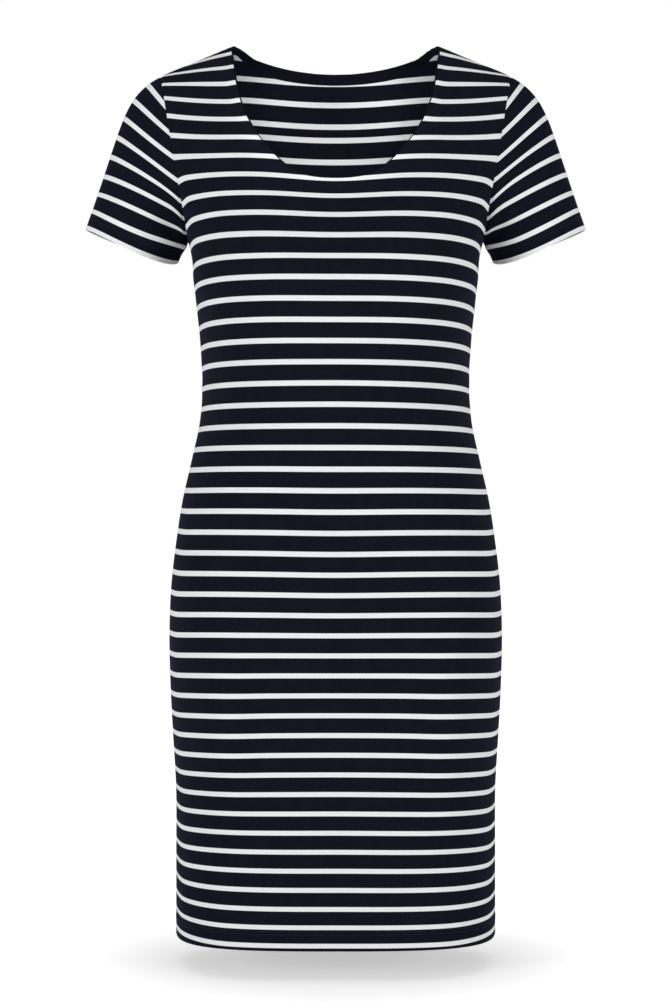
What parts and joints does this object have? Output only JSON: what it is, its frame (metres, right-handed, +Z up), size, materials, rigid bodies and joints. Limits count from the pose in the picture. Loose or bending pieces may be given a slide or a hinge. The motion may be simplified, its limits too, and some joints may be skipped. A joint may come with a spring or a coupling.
{
  "type": "bodycon dress",
  "caption": "Close-fitting striped jersey dress with a scoop neck, short set-in sleeves and an open hem, hollow and filled out as if worn.",
  "frame": {"origin": "midway between the two points where the shoulder seams meet the neckline, where the wearer's shoulders hold the dress", "axes": "+Z up the dress, -Y out of its front, +X to the wearer's left"},
  "size_m": [0.515, 0.2648, 0.912],
  "materials": {
    "striped_jersey": "matt fine-knit cotton jersey, navy with narrow white stripes across it",
    "navy_jersey": "matt fine-knit cotton jersey, plain navy"
  },
  "bodies": {
    "root": {"front": "striped_jersey", "back": "striped_jersey", "sleeve_left": "striped_jersey", "sleeve_right": "striped_jersey", "back_neck_facing": "striped_jersey", "neckband": "navy_jersey"}
  },
  "joints": []
}
